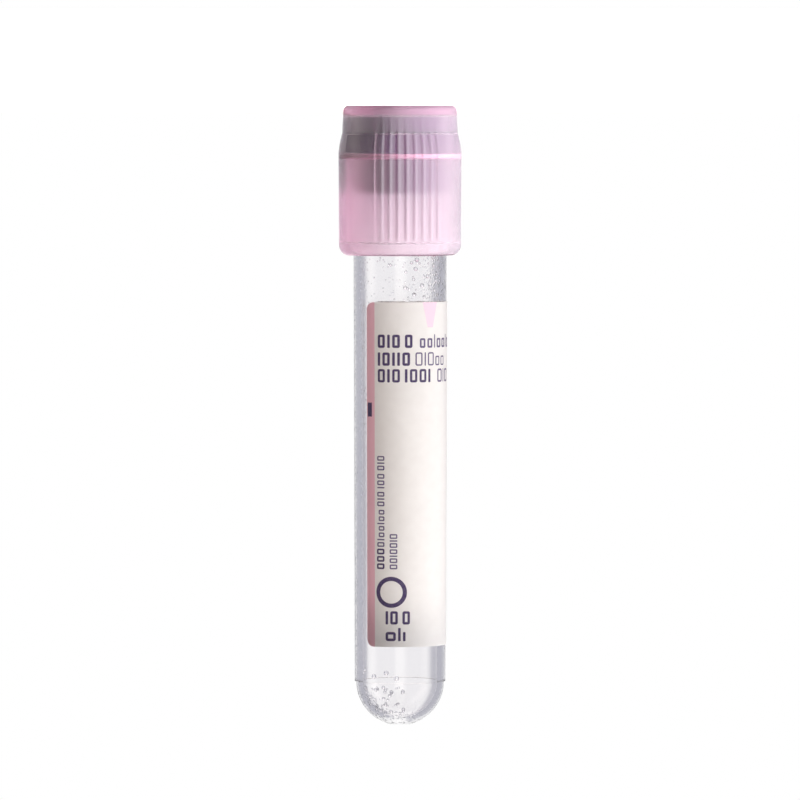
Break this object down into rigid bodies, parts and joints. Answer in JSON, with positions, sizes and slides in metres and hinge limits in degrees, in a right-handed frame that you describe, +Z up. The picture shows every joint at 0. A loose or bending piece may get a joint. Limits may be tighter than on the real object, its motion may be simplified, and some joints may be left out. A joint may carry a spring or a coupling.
{
  "type": "blood collection tube",
  "caption": "Clear round-bottomed evacuated test tube with a rubber stopper in a translucent pink ribbed closure, a wrapped label and a dried additive inside.",
  "frame": {"origin": "on the bench, at the middle of the closure's flat top, which the tube stands on: the centre of the bottom of the bounding box", "axes": "+Z up along the tube's axis, from the closure to the round bottom; -Y the front, where the label's left edge is seen; +X completes the frame, and is on the left of the label when the tube is turned with its closure up"},
  "size_m": [0.0163, 0.0166, 0.082],
  "materials": {
    "clear_pet": "clear injection-moulded PET, glossy",
    "butyl_rubber": "matt grey-violet butyl rubber",
    "pink_polypropylene": "translucent pink polypropylene, satin",
    "label_film": "white coated label with pink edge stripes and violet marks",
    "dried_salt": "clear dried drops"
  },
  "bodies": {
    "closure": {"stopper": "butyl_rubber", "closure_shield": "pink_polypropylene"},
    "tube": {"tube": "clear_pet", "label": "label_film", "dried_additive": "dried_salt"}
  },
  "joints": [
    {"name": "closure_pull", "type": "slide", "parent": "closure", "child": "tube", "axis": [0, 0, 1], "range_m": [0, 0.03]}
  ]
}
